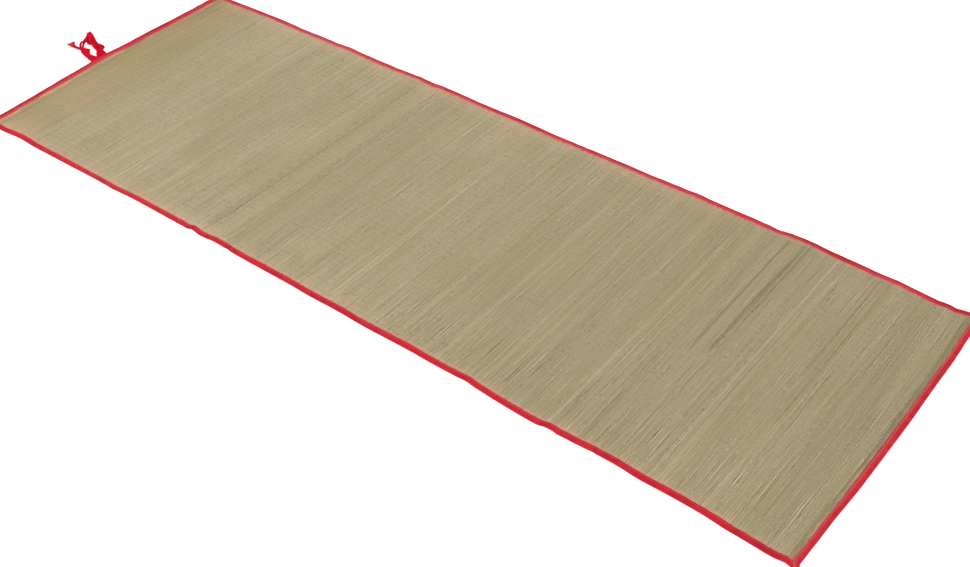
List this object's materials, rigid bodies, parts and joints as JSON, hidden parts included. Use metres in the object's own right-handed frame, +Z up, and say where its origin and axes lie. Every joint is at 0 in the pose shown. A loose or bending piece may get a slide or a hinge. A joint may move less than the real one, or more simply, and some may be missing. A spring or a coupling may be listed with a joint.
{
  "type": "beach mat",
  "caption": "Long flat mat of woven straw, bound all round with red folded tape, with a crumpled tape tie lying at the middle of one end.",
  "frame": {"origin": "on the underside, at the middle of the mat's length and width without its tie", "axes": "+X along the mat, away from its tie; +Y across it; +Z up from the surface that it lies on"},
  "size_m": [1.8847, 0.6248, 0.0203],
  "materials": {
    "straw": "dry woven straw, matt with a faint sheen",
    "binding": "thin woven red tape, satin",
    "tie": "thin woven crimson tape, satin"
  },
  "bodies": {
    "root": {"straw_panel": "straw", "binding_near": "binding", "binding_far": "binding", "binding_tie_end": "binding", "binding_plain_end": "binding", "tie_upper_tail": "tie", "tie_lower_tail": "tie"}
  },
  "joints": []
}
